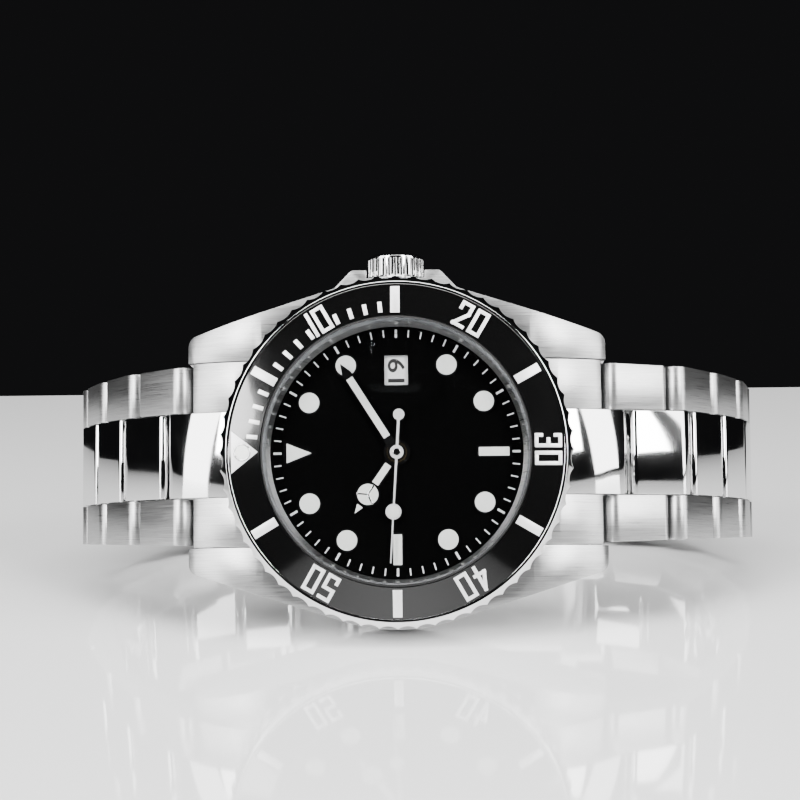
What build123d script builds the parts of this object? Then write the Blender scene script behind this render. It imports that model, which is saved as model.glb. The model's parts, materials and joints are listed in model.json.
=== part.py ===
from build123d import *
import os
from math import atan2, cos, degrees, hypot, radians, sin, sqrt, tan

# Dive watch standing on its nine o'clock flank, with its bracelet closed in a loop behind it.
#
# Everything is drawn in the watch's own frame, in millimetres: the origin is on the hands' axis at
# the case back's outer face, +Z points out of the dial, +Y to twelve o'clock, +X to the crown.
# STAND, at the end, turns the finished pieces so that they rest as the real watch rests.

# ---------------------------------------------------------------- driving dimensions
# case
CASE_RADIUS = 20.7            # flank at nine o'clock
CASE_BOTTOM = 1.2
CASE_TOP = 8.4
FLANK_TANGENT = 17.5          # degrees at which the flank leaves its arc for the lug
LUG_REACH = CASE_RADIUS + 4.1 # hand axis to lug tip, along Y
LUG_GAP = 22.0
LUG_TIP_TOP = 5.0
LUG_TIP_BOTTOM = 0.5
LUG_CURVE_START = LUG_REACH - 9.8
LUG_CORNER = 1.3
WALL_RADIUS = CASE_RADIUS - 1.4   # case wall between the lugs
DIAL_BORE = 15.75
MOVEMENT_BORE = DIAL_BORE - 0.85
LEDGE_Z = 7.3
BACK_THREAD_RADIUS = 16.0
BACK_OPENING_RADIUS = BACK_THREAD_RADIUS - 0.4
BACK_RADIUS = BACK_THREAD_RADIUS + 1.2
BACK_INNER_Z = 2.4
NECK_RADIUS = DIAL_BORE + 1.25
NECK_TOP = 10.6

# bezel, crystal and rehaut
BEZEL_RADIUS = CASE_RADIUS - 0.05
BEZEL_SHOULDER = 0.8          # drop of the sloping shoulder from the rim to the grip
RIM_WIDTH = 0.35              # rim round the insert
BEZEL_TOP = 11.1
SCALLOPS = 60
SCALLOP_DEPTH = 0.35
SCALLOP_RADIUS = 1.9
INSERT_INNER = DIAL_BORE + 0.12
INSERT_OUTER = BEZEL_RADIUS - 1.15
INSERT_FLOOR = 10.7
INSERT_INNER_TOP = 11.65
INSERT_OUTER_TOP = 11.0
CRYSTAL_RADIUS = DIAL_BORE - 0.25
CRYSTAL_BOTTOM = 9.7
CRYSTAL_TOP = 12.2
REHAUT_TOP_RADIUS = DIAL_BORE - 0.45
REHAUT_DIAL_RADIUS = DIAL_BORE - 0.88
MAGNIFIER_OUT = 10.1          # centre, towards the crown
MAGNIFIER_SIZE = (6.9, 5.6)
MAGNIFIER_HEIGHT = 0.9

# dial and hands
DIAL_BOTTOM = 7.55
DIAL_TOP = 8.0
DIAL_RADIUS = DIAL_BORE - 0.35
MARKER_HEIGHT = 0.3
MARKER_RING = 11.85           # radius on which the round markers sit
ROUND_MARKER_RADIUS = 1.43
BATON_INNER, BATON_OUTER, BATON_WIDTH = 9.35, 13.45, 1.5
TRIANGLE_INNER, TRIANGLE_OUTER, TRIANGLE_WIDTH = 9.25, 13.35, 3.35
DATE_WINDOW = (3.5, 2.75)
DATE_CENTRE = 9.7
HAND_THICKNESS = 0.15
HOUR_HAND_Z, MINUTE_HAND_Z, SECONDS_HAND_Z = 8.36, 8.76, 9.1
HOUR_ANGLE, MINUTE_ANGLE, SECONDS_ANGLE = 305.0, 57.8, 273.6
HOUR_PIPE, MINUTE_PIPE, SECONDS_ARBOR = 1.15, 0.75, 0.25

# crown
CROWN_Z = 4.9
CROWN_RADIUS = 3.3
CROWN_INNER, CROWN_END = CASE_RADIUS + 0.05, CASE_RADIUS + 3.0
CROWN_FLUTES = 30
GUARD_REACH = CASE_RADIUS + 0.9
GUARD_TOP_HALF, GUARD_BASE_HALF = 5.25, 7.6
GUARD_BOTTOM, GUARD_TOP = 1.9, 7.9
STEM_RADIUS = 0.6
TUBE_RADIUS = 1.5
TUBE_END = CROWN_INNER + 1.15
LUG_BAR_RADIUS = 0.9
LUG_BAR_DEPTH = 1.2           # how far each end of a spring bar enters its lug
LUG_BAR = (LUG_REACH - 2.5, 2.6)   # distance from the hand axis, height

# bracelet
LINK_PITCH = 8.0
LINK_THICKNESS = 3.0
LINK_GAP = 0.2                # between the ends of neighbouring links
SIDE_PLAY = 0.08              # between a moving link's flank and its neighbour's
FIRST_LINK_WIDTH = LUG_GAP - 0.8
LINK_TAPER = 0.5              # width lost from one link to the next
CENTRE_WIDTH = LUG_GAP * 5 / 11
LINK_CORNER = 0.7
PIN_RADIUS = 0.6
FIRST_PIN = (LUG_REACH + 1.1, 3.0) # distance from the hand axis, height
END_LINK_DROP = 0.2           # how far an end link's outer surface lies below the lugs'
TONGUE_TURN = 50              # degrees round the first pin where its tongue's top meets the round end
# slope of each link below the dial's plane, in degrees, from the lug to the clasp
SLOPES_12 = (41, 57, 67, 90, 108, 128, 150, 172)
SLOPES_6 = (20, 56, 64, 78, 88, 112, 140, 163)    # eased a little so that the loop closes

# clasp
CLASP_LENGTH = 44.5           # twelve o'clock pin to six o'clock pin
CLASP_WIDTH = FIRST_LINK_WIDTH - 2.7
COVER_THICKNESS = 0.9
COVER_INSIDE = LINK_THICKNESS / 2 + 0.25   # pin axis to the cover's inner face
CLASP_SLOPE = 180
BLADE_WIDTH = CLASP_WIDTH - 5.7
BLADE_THICKNESS = 0.75
SHELL_PIVOT = (CLASP_LENGTH - 4.9, 0.75)   # along the clasp, outwards
BLADE_PIVOT = (9.0, 0.0)

# clearances
RUN = 0.06                    # shaft in hole, ring round ring
FACE = 0.1                    # between faces that slide past each other
SEAT = 0.02                   # between pieces that only rest together

HALF_LINK = LINK_THICKNESS / 2
OVERLONG = 60.0               # reach of a cutting shape past what it cuts
STANDING_UP = (Align.CENTER, Align.CENTER, Align.MIN)


# ---------------------------------------------------------------- small helpers
def face_of(points, plane=Plane.XY):
    return make_face(plane * Polyline(*points, close=True))


def disc(radius, low, high, x=0.0, y=0.0):
    return Pos(x, y, low) * Cylinder(radius, high - low, align=STANDING_UP)


def ring(inner, outer, low, high, x=0.0, y=0.0):
    return disc(outer, low, high, x, y) - disc(inner, low - 1, high + 1, x, y)


def turned(points):
    """Solid of revolution about the hands' axis, from (radius, height) points."""
    return revolve(face_of(points, Plane.XZ), Axis.Z)


def rod(radius, start, end, z=CROWN_Z):
    """Round bar on the crown's axis."""
    return Pos(start, 0, z) * Rot(Y=90) * Cylinder(radius, end - start, align=STANDING_UP)


def block(x0, x1, y0, y1, z0, z1):
    return Pos(x0, y0, z0) * Box(x1 - x0, y1 - y0, z1 - z0, align=(Align.MIN, Align.MIN, Align.MIN))


def both_ways(solid, plane=Plane.YZ):
    return [solid, mirror(solid, about=plane)]


# ---------------------------------------------------------------- case
def flank_half_width(y):
    """Half the case's width at a distance y from the crown's axis, on the straight part of the flank."""
    turn = radians(FLANK_TANGENT)
    return CASE_RADIUS * cos(turn) - (y - CASE_RADIUS * sin(turn)) * tan(turn)


def case_outline():
    turn = radians(FLANK_TANGENT)
    x, y, tip = CASE_RADIUS * cos(turn), CASE_RADIUS * sin(turn), flank_half_width(LUG_REACH)
    body = face_of([(x, y), (tip, LUG_REACH), (-tip, LUG_REACH), (-x, y),
                    (-x, -y), (-tip, -LUG_REACH), (tip, -LUG_REACH), (x, -y)])
    body = fillet(body.vertices().filter_by(lambda v: abs(v.Y) > LUG_REACH - 0.01), LUG_CORNER)
    return body + Circle(CASE_RADIUS)


def lug_side(top_drop=0.0, low=None):
    """Side view of the case from lug tip to lug tip, flat on top and curved down to the tips."""
    top, tip = CASE_TOP - top_drop, LUG_TIP_TOP - top_drop
    base = CASE_BOTTOM if low is None else low
    tip_base = LUG_TIP_BOTTOM if low is None else low
    fore = TangentArc((LUG_CURVE_START, top), (LUG_REACH + 0.5, tip), tangent=(1, 0))
    aft = TangentArc((-LUG_CURVE_START, top), (-LUG_REACH - 0.5, tip), tangent=(-1, 0))
    flat_end = BACK_RADIUS + 0.3
    low_line = Polyline((LUG_REACH + 0.5, tip), (LUG_REACH + 0.5, tip_base), (flat_end, base),
                        (-flat_end, base), (-LUG_REACH - 0.5, tip_base), (-LUG_REACH - 0.5, tip))
    flat = Line((-LUG_CURVE_START, top), (LUG_CURVE_START, top))
    lines = [Plane.YZ * line for line in (fore, aft, low_line, flat)]
    return make_face([edge for line in lines for edge in line.edges()])


def lug_gap_cut(gap, wall):
    """Space between the lugs at both ends, outside the case wall."""
    slot = block(-gap / 2, gap / 2, -OVERLONG, OVERLONG, -1, CASE_TOP + 1)
    return slot - disc(wall, -2, CASE_TOP + 2)


def crown_guards():
    profile = face_of([(CASE_RADIUS - 3, -GUARD_BASE_HALF - 2), (CASE_RADIUS - 1.6, -GUARD_BASE_HALF),
                       (GUARD_REACH, -GUARD_TOP_HALF), (GUARD_REACH, GUARD_TOP_HALF),
                       (CASE_RADIUS - 1.6, GUARD_BASE_HALF), (CASE_RADIUS - 3, GUARD_BASE_HALF + 2)])
    guards = Pos(0, 0, GUARD_BOTTOM) * extrude(profile, GUARD_TOP - GUARD_BOTTOM)
    return fillet(guards.edges().filter_by(Axis.Z).group_by(Axis.X)[-1], 0.7)


def case_middle():
    body = extrude(case_outline(), CASE_TOP + 2) & extrude(lug_side(), OVERLONG, both=True)
    body += crown_guards()
    body += disc(NECK_RADIUS, CASE_TOP - 1, NECK_TOP)
    body -= lug_gap_cut(LUG_GAP, WALL_RADIUS)
    half_slot = CROWN_RADIUS + FACE + RUN
    body -= block(CROWN_INNER - FACE, OVERLONG, -half_slot, half_slot, -1, CASE_TOP + 2)
    body -= disc(MOVEMENT_BORE, BACK_INNER_Z - 1, NECK_TOP + 1)
    body -= disc(DIAL_BORE, LEDGE_Z, NECK_TOP + 1)
    body -= disc(BACK_THREAD_RADIUS, -1, BACK_INNER_Z)
    body -= rod(TUBE_RADIUS, MOVEMENT_BORE - 1, OVERLONG)
    body -= click_spring_seat()
    for pin in lug_pin_places():
        body -= pin * Cylinder(LUG_BAR_RADIUS, LUG_GAP + 2 * LUG_BAR_DEPTH)
    return body


def lug_pin_places():
    """Frames of the two lug spring bars, each with its Z along the bar."""
    return [Pos(0, side * LUG_BAR[0], LUG_BAR[1]) * Rot(Y=90) for side in (1, -1)]


def lug_spring_bars():
    length = LUG_GAP + 2 * LUG_BAR_DEPTH - 2 * FACE
    return [place * Cylinder(LUG_BAR_RADIUS, length) for place in lug_pin_places()]


CLICK_SPRING = (17.7, 18.8, 0.3)              # inner radius, outer radius, thickness


def click_spring_seat():
    inner, outer, thickness = CLICK_SPRING
    return ring(inner - RUN, outer + RUN, CASE_TOP - thickness, CASE_TOP + 1)


def bezel_click_spring():
    inner, outer, thickness = CLICK_SPRING
    opening = block(-1.2, 1.2, 0, OVERLONG, 0, CASE_TOP + 1)
    return ring(inner, outer, CASE_TOP - thickness, CASE_TOP) - opening


def case_back():
    """Screwed back with six wrench notches round its rim."""
    plate = disc(BACK_RADIUS, 0, CASE_BOTTOM)
    plate += disc(BACK_THREAD_RADIUS - SEAT, CASE_BOTTOM, BACK_INNER_Z)
    plate -= disc(MOVEMENT_BORE, BACK_INNER_Z - 0.6, BACK_INNER_Z + 1)
    seat = BACK_INNER_Z - 0.5
    plate -= ring(BACK_OPENING_RADIUS - 0.5, BACK_THREAD_RADIUS + 1, seat, BACK_INNER_Z + 1)
    plate = chamfer(plate.edges().filter_by(GeomType.CIRCLE).group_by(Axis.Z)[0], 0.4)
    for place in PolarLocations(BACK_RADIUS, 6):
        plate -= place * Box(1.6, 2.6, 1.0)
    return plate


def case_back_gasket():
    inner, outer = BACK_OPENING_RADIUS - 0.45, BACK_THREAD_RADIUS - SEAT
    return ring(inner, outer, BACK_INNER_Z - 0.48, BACK_INNER_Z - SEAT)


def crown_tube():
    return rod(TUBE_RADIUS, MOVEMENT_BORE + 0.3, TUBE_END) - rod(STEM_RADIUS + RUN, 0, OVERLONG)


# ---------------------------------------------------------------- bezel, crystal, rehaut
def bezel_ring():
    """Ring with a scalloped grip, a recess for the insert and a bright rim round it."""
    bore, floor, foot = NECK_RADIUS + RUN, INSERT_FLOOR, CASE_TOP + FACE
    body = turned([(bore, foot), (BEZEL_RADIUS - 0.3, foot), (BEZEL_RADIUS, foot + 0.3),
                   (BEZEL_RADIUS, BEZEL_TOP - BEZEL_SHOULDER), (INSERT_OUTER + RIM_WIDTH, BEZEL_TOP),
                   (INSERT_OUTER + SEAT, BEZEL_TOP), (INSERT_OUTER + SEAT, floor), (bore, floor)])
    scallop_centre = BEZEL_RADIUS + SCALLOP_RADIUS - SCALLOP_DEPTH
    return body - [place * Cylinder(SCALLOP_RADIUS, 4 * BEZEL_TOP)
                   for place in PolarLocations(scallop_centre, SCALLOPS, start_angle=180 / SCALLOPS)]


def bezel_insert():
    return turned([(INSERT_INNER, INSERT_FLOOR), (INSERT_OUTER, INSERT_FLOOR),
                   (INSERT_OUTER, INSERT_OUTER_TOP), (INSERT_INNER, INSERT_INNER_TOP)])


def crystal():
    edge, radius = 0.15, CRYSTAL_RADIUS
    return turned([(0, CRYSTAL_BOTTOM), (radius, CRYSTAL_BOTTOM), (radius, CRYSTAL_TOP - edge),
                   (radius - edge, CRYSTAL_TOP), (0, CRYSTAL_TOP)])


def crystal_gasket():
    return ring(CRYSTAL_RADIUS + SEAT, DIAL_BORE - SEAT, CRYSTAL_BOTTOM, CRYSTAL_TOP - 0.55)


def magnifier():
    """Domed lens over the date, cemented to the crystal."""
    outline = RectangleRounded(*MAGNIFIER_SIZE, 0.6)
    lens = Pos(MAGNIFIER_OUT, 0, CRYSTAL_TOP) * extrude(outline, MAGNIFIER_HEIGHT)
    half_length, sag = MAGNIFIER_SIZE[0] / 2, 0.45
    dome = (half_length ** 2 + sag ** 2) / (2 * sag)
    return lens & Pos(MAGNIFIER_OUT, 0, CRYSTAL_TOP + MAGNIFIER_HEIGHT - dome) * Sphere(dome)


def rehaut_ring():
    return turned([(REHAUT_DIAL_RADIUS, DIAL_TOP), (DIAL_BORE - SEAT, DIAL_TOP),
                   (DIAL_BORE - SEAT, CRYSTAL_BOTTOM), (REHAUT_TOP_RADIUS, CRYSTAL_BOTTOM)])


# ---------------------------------------------------------------- dial and hands
def dial():
    plate = disc(DIAL_RADIUS, DIAL_BOTTOM, DIAL_TOP) - disc(HOUR_PIPE + RUN, DIAL_BOTTOM - 1, DIAL_TOP + 1)
    width, height = DATE_WINDOW
    return plate - Pos(DATE_CENTRE, 0, DIAL_TOP) * Box(width, height, 2)


def hour_markers():
    """Applied markers: a triangle at twelve, batons at six and nine, and eight round ones."""
    stud = disc(ROUND_MARKER_RADIUS, DIAL_TOP, DIAL_TOP + MARKER_HEIGHT, y=MARKER_RING)
    rounds = [Rot(Z=-30 * hour) * stud for hour in (1, 2, 4, 5, 7, 8, 10, 11)]
    half = BATON_WIDTH / 2
    baton = block(-half, half, BATON_INNER, BATON_OUTER, DIAL_TOP, DIAL_TOP + MARKER_HEIGHT)
    batons = [Rot(Z=-30 * hour) * baton for hour in (6, 9)]
    half = TRIANGLE_WIDTH / 2
    triangle = face_of([(-half, TRIANGLE_OUTER), (half, TRIANGLE_OUTER), (0, TRIANGLE_INNER)])
    return [Pos(0, 0, DIAL_TOP) * extrude(triangle, MARKER_HEIGHT)] + batons + rounds


DATE_DISC = (8.0, 12.4)                       # inner and outer radius


def date_disc():
    return ring(*DATE_DISC, DIAL_BOTTOM - 0.3, DIAL_BOTTOM - FACE)


def hand(outline_parts, level, hub, bore):
    """A flat hand pointing to twelve, with a round hub."""
    flat = Circle(hub)
    for part in outline_parts:
        flat += part
    return Pos(0, 0, level) * extrude(flat - Circle(bore), HAND_THICKNESS)


def hour_hand():
    ring_at, ring_radius, tip = 6.0, 1.55, 9.0
    arm = face_of([(-0.65, 0), (0.65, 0), (0.65, ring_at), (0, tip), (-0.65, ring_at)])
    blank = hand([arm, Pos(0, ring_at) * Circle(ring_radius)], HOUR_HAND_Z, HOUR_PIPE + 0.4, HOUR_PIPE)
    return Rot(Z=-HOUR_ANGLE) * blank


def minute_hand():
    tip, shoulder = 12.35, 10.9
    arm = face_of([(-0.57, 0), (0.57, 0), (0.57, shoulder), (0, tip), (-0.57, shoulder)])
    return Rot(Z=-MINUTE_ANGLE) * hand([arm], MINUTE_HAND_Z, 1.1, MINUTE_PIPE)


def seconds_hand():
    tip, tail = 13.0, 5.05
    needle = face_of([(-0.16, -tail), (0.16, -tail), (0.07, tip), (-0.07, tip)])
    paddle, counterweight = Pos(0, 7.0) * Circle(0.92), Pos(0, -4.4) * Circle(0.66)
    blank = hand([needle, paddle, counterweight], SECONDS_HAND_Z, 0.8, SECONDS_ARBOR)
    return Rot(Z=-SECONDS_ANGLE) * blank


# ---------------------------------------------------------------- crown
def crown():
    """Fluted crown with a chamfered rim and a raised cap, hollow over the crown tube."""
    body = rod(CROWN_RADIUS, CROWN_INNER, CROWN_END)
    body = chamfer(body.edges().filter_by(GeomType.CIRCLE), 0.35)
    hollow = TUBE_RADIUS + 0.35
    body -= rod(hollow, CROWN_INNER - 1, TUBE_END + 0.25)
    flute_at = CROWN_RADIUS + 0.12
    flutes = [Rot(X=360 * k / CROWN_FLUTES) * rod(0.25, CROWN_INNER - 1, CROWN_END - 0.6, z=flute_at)
              for k in range(CROWN_FLUTES)]
    body -= [Pos(0, 0, CROWN_Z) * flute for flute in flutes]
    return body - rod(STEM_RADIUS, CROWN_INNER - 1, TUBE_END + 0.9)


def crown_gasket():
    inner, outer = TUBE_RADIUS + RUN, TUBE_RADIUS + 0.29
    return rod(outer, CROWN_INNER + 0.2, CROWN_INNER + 0.8) - rod(inner, 0, OVERLONG)


def winding_stem():
    return rod(STEM_RADIUS, 10.4, TUBE_END + 0.9)


# ---------------------------------------------------------------- movement
PLATE = (5.65, LEDGE_Z)                       # lower and upper level of the main plate's body
BRIDGE = (3.6, 4.15)
ROTOR = (2.75, 3.35)
THIRD_AXIS = (3.1, 3.12)
ESCAPE_AXIS = (0.0, -3.75)
BARREL_AXIS = (-7.6, 4.6)
BALANCE_AXIS = (4.5, -9.0)
PALLET_AXIS = (2.85, -6.9)
PILLARS = ((-12.3, -3.4), (-2.2, 12.2), (9.6, 9.2))
COCK_PILLAR = (9.75, -8.05)
ARBOR = 0.3
PIVOTS = (4.3, PLATE[0] + 0.3)                # lower and upper end of the train's arbors


def geared(radius, teeth, low, high, x=0.0, y=0.0):
    """Toothed wheel whose tips reach the given radius."""
    depth = 0.9 * radius / teeth * 2
    notch = Box(2 * depth, depth, 2 * (high - low))
    wheel = disc(radius, low, high)
    wheel -= [place * notch for place in Pos(0, 0, low) * PolarLocations(radius, teeth)]
    return Pos(x, y) * wheel


def arbor(x, y, low, high, radius=ARBOR):
    return disc(radius, low, high, x, y)


def train_axes():
    return (THIRD_AXIS, ESCAPE_AXIS, BARREL_AXIS)


def main_plate():
    plate = disc(MOVEMENT_BORE - FACE, *PLATE) + disc(DIAL_RADIUS, LEDGE_Z, DIAL_BOTTOM)
    inner, outer = DATE_DISC
    plate -= ring(inner - FACE, outer + FACE, DIAL_BOTTOM - 0.4, DIAL_BOTTOM + 1)
    plate -= disc(3.2, 6.9, DIAL_BOTTOM + 1)
    plate -= disc(MINUTE_PIPE + RUN, 0, DIAL_BOTTOM)
    for x, y in train_axes() + (BALANCE_AXIS, PALLET_AXIS):
        plate -= arbor(x, y, 0, PLATE[0] + 0.4, ARBOR + RUN)
    return plate + [disc(1.0, BRIDGE[1], PLATE[0], x, y) for x, y in PILLARS + (COCK_PILLAR,)]


def centre_wheel():
    """Minute wheel with the cannon pinion that carries the minute hand."""
    top = MINUTE_HAND_Z + HAND_THICKNESS + 0.05
    wheel = geared(3.2, 60, 5.25, 5.4) + disc(MINUTE_PIPE, 5.25, top)
    return wheel - disc(SECONDS_ARBOR + RUN, 0, top + 1)


def hour_wheel():
    top = HOUR_HAND_Z + HAND_THICKNESS + 0.05
    wheel = geared(3.0, 48, 7.0, 7.2) + disc(HOUR_PIPE, 7.0, top)
    return wheel - disc(MINUTE_PIPE + RUN, 0, top + 1)


def third_wheel():
    x, y = THIRD_AXIS
    wheel, pinion = geared(3.35, 75, 4.72, 4.85, x, y), geared(1.1, 12, 5.2, 5.5, x, y)
    return wheel + pinion + arbor(x, y, *PIVOTS)


def fourth_wheel():
    """Wheel on the centre axis that turns once a minute and carries the seconds hand."""
    top = SECONDS_HAND_Z + HAND_THICKNESS + 0.05
    return geared(3.0, 70, 4.45, 4.6) + geared(0.95, 10, 4.6, 5.0) + disc(SECONDS_ARBOR, 4.3, top)


def escape_wheel():
    x, y = ESCAPE_AXIS
    wheel, pinion = geared(2.0, 15, 4.95, 5.05, x, y), geared(0.65, 7, 4.35, 4.75, x, y)
    return wheel + pinion + arbor(x, y, *PIVOTS)


def barrel():
    """Mainspring barrel with its cover and arbor."""
    x, y = BARREL_AXIS
    return geared(5.3, 84, 4.9, 5.15, x, y) + disc(4.9, 4.4, 5.45, x, y) + arbor(x, y, *PIVOTS)


def pallet_fork():
    """Two-armed fork between the escape wheel and the balance."""
    x, y = PALLET_AXIS
    aim = degrees(atan2(BALANCE_AXIS[1] - y, BALANCE_AXIS[0] - x))
    lever = face_of([(-0.5, -0.2), (1.3, -0.1), (1.3, 0.1), (-0.5, 0.2)])
    arms = face_of([(-0.45, -1.5), (0.0, -1.5), (0.0, 1.5), (-0.45, 1.5)])
    fork = Pos(x, y, 5.2) * Rot(Z=aim) * extrude(lever + arms, 0.15)
    return fork + arbor(x, y, 4.95, PLATE[0] + 0.3, 0.2)


def balance_wheel():
    """Rim, two arms and staff, with the hairspring drawn as a thin collar."""
    x, y = BALANCE_AXIS
    rim = ring(3.6, 4.1, 4.45, 4.75, x, y)
    arms = block(x - 3.8, x + 3.8, y - 0.25, y + 0.25, 4.5, 4.7)
    hairspring = ring(1.2, 1.6, 4.3, 4.5, x, y)
    return rim + arms + hairspring + arbor(x, y, *PIVOTS, radius=0.25)


def train_bridge():
    """Bridge over the barrel and the going train, on three pillars."""
    low, high = BRIDGE
    plate = disc(14.0, low, high) - block(-OVERLONG, OVERLONG, -OVERLONG, -4.6, 0, OVERLONG)
    plate += disc(1.6, low, high, *ESCAPE_AXIS)
    plate -= [arbor(x, y, high - 0.1, OVERLONG) for x, y in train_axes()]
    return plate - [screw_hole(x, y) for x, y in PILLARS]


def balance_cock():
    low, high = BRIDGE
    (x0, y0), (x1, y1) = COCK_PILLAR, BALANCE_AXIS
    span = hypot(x1 - x0, y1 - y0)
    bar = Pos((x0 + x1) / 2, (y0 + y1) / 2, low) * Rot(Z=degrees(atan2(y1 - y0, x1 - x0)))
    body = bar * Pos(0, 0, (high - low) / 2) * Box(span, 2.6, high - low)
    body += disc(1.3, low, high, x0, y0) + disc(1.3, low, high, x1, y1)
    return body - screw_hole(x0, y0)


SCREW_HEAD, SCREW_SHANK = (0.75, 0.25), 0.35


def screw_hole(x, y):
    radius, depth = SCREW_HEAD
    head = disc(radius + RUN, BRIDGE[0] - 1, BRIDGE[0] + depth, x, y)
    return head + disc(SCREW_SHANK + SEAT, 0, OVERLONG, x, y)


def bridge_screws():
    """Slotted screws that hold the bridge and the cock, flush with the bridges."""
    radius, depth = SCREW_HEAD
    low = BRIDGE[0]
    screws = []
    for x, y in PILLARS + (COCK_PILLAR,):
        screw = disc(radius, low, low + depth, x, y) + disc(SCREW_SHANK, low, BRIDGE[1] - SEAT, x, y)
        screws.append(screw - block(x - radius, x + radius, y - 0.08, y + 0.08, low - 1, low + 0.1))
    return screws


def rotor():
    """Half-round oscillating weight with a heavy rim, hanging below its post on the bridge."""
    low, high = ROTOR
    half = block(-OVERLONG, 1.4, -OVERLONG, OVERLONG, 0, OVERLONG)
    web = disc(13.6, high - 0.3, high) & half
    rim = ring(10.8, 13.9, low, high) & half
    return web + rim + disc(2.0, low, high) - disc(0.8 + RUN, 0, OVERLONG)


def rotor_post():
    return disc(0.8, ROTOR[0], BRIDGE[0])


# ---------------------------------------------------------------- bracelet
def along(start, slope, length=LINK_PITCH):
    """Point reached from start, going down at the given slope."""
    return (start[0] + length * cos(radians(slope)), start[1] - length * sin(radians(slope)))


def chain(slopes):
    """Pins of a run of links, as (distance from the hand axis, height), one more than its slopes."""
    pins = [FIRST_PIN]
    for slope in slopes:
        pins.append(along(pins[-1], slope))
    return pins


def closed_slopes(slopes, target):
    """The slopes, all turned and stretched alike, with which the run of links ends on the target pin."""
    turn, stretch, step = 0.0, 1.0, 1e-4

    def miss(turn, stretch):
        end = chain([turn + stretch * slope for slope in slopes])[-1]
        return (end[0] - target[0], end[1] - target[1])

    for _ in range(30):
        here = miss(turn, stretch)
        by_turn = [(b - a) / step for a, b in zip(here, miss(turn + step, stretch))]
        by_stretch = [(b - a) / step for a, b in zip(here, miss(turn, stretch + step))]
        scale = by_turn[0] * by_stretch[1] - by_turn[1] * by_stretch[0]
        turn -= (here[0] * by_stretch[1] - here[1] * by_stretch[0]) / scale
        stretch -= (by_turn[0] * here[1] - by_turn[1] * here[0]) / scale
    return tuple(turn + stretch * slope for slope in slopes)


PINS_12 = chain(SLOPES_12)
CLASP_START = PINS_12[-1]
CLASP_END = along(CLASP_START, CLASP_SLOPE, CLASP_LENGTH)
CLOSED_SLOPES_6 = closed_slopes(SLOPES_6, (-CLASP_END[0], CLASP_END[1]))
PINS_6 = chain(CLOSED_SLOPES_6)


def link_place(side, pin, slope):
    """Frame on a pin: X along the link, Y away from the wrist, Z across the bracelet."""
    turn = radians(slope)
    return Location(Plane(origin=(0, side * pin[0], pin[1]), x_dir=(0, side * cos(turn), -sin(turn)),
                          z_dir=(side, 0, 0)))


def bar_profile(start, end, round_at, radius=HALF_LINK):
    """Side view of a piece with one end round about a pin and the other with eased corners."""
    square_end = end if round_at == start else start
    flat = Pos((start + end) / 2, 0) * Rectangle(abs(end - start), 2 * radius)
    corners = flat.vertices().filter_by(lambda v: abs(v.X - square_end) < 0.01)
    return fillet(corners, LINK_CORNER) + Pos(round_at, 0) * Circle(radius)


def across(profile, inner, outer):
    """Piece of the given side view between two distances from the bracelet's middle line."""
    return Pos(0, 0, inner) * extrude(profile, outer - inner)


def pin_rod(x, y, half_length, radius=PIN_RADIUS):
    return Pos(x, y) * Cylinder(radius, 2 * half_length)


def bracelet_link(index):
    """Two outer pieces and a centre piece set half a step on, with a hinge pin and a dowel."""
    near = FIRST_LINK_WIDTH / 2 - index * LINK_TAPER / 2
    far = near - LINK_TAPER / 2
    inner = CENTRE_WIDTH / 2 + SIDE_PLAY
    dowel_at = LINK_PITCH / 2
    outer = across(bar_profile(0, LINK_PITCH - HALF_LINK - LINK_GAP, 0), inner, near + LINK_TAPER)
    plan = face_of([(-LINK_PITCH, 0), (-LINK_PITCH, 2 * near - far), (LINK_PITCH, far), (LINK_PITCH, 0)],
                   Plane.XZ)
    outer &= extrude(plan, OVERLONG, both=True)
    outer -= [pin_rod(x, 0, far - 0.8, PIN_RADIUS + SEAT) for x in (0, dowel_at)]
    side_view = bar_profile(LINK_PITCH, HALF_LINK + LINK_GAP, LINK_PITCH)
    centre = across(side_view, -CENTRE_WIDTH / 2, CENTRE_WIDTH / 2)
    centre -= pin_rod(LINK_PITCH, 0, OVERLONG, PIN_RADIUS + RUN)
    centre -= pin_rod(dowel_at, 0, OVERLONG, PIN_RADIUS + SEAT)
    pins = [pin_rod(x, 0, far - 0.9) for x in (0, dowel_at)]
    return both_ways(outer, Plane.XY) + [centre] + pins


def last_link_pin():
    """Pin of the clasp's free pivot, which stays inside the last link's centre piece."""
    return pin_rod(LINK_PITCH, 0, CENTRE_WIDTH / 2)


def bracelet_links(side, pins, slopes):
    placed = []
    for index, slope in enumerate(slopes):
        place = link_place(side, pins[index], slope)
        pieces = bracelet_link(index)
        if side < 0 and index == len(slopes) - 1:
            pieces.append(last_link_pin())
        placed.append([place * piece for piece in pieces])
    return placed


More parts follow.
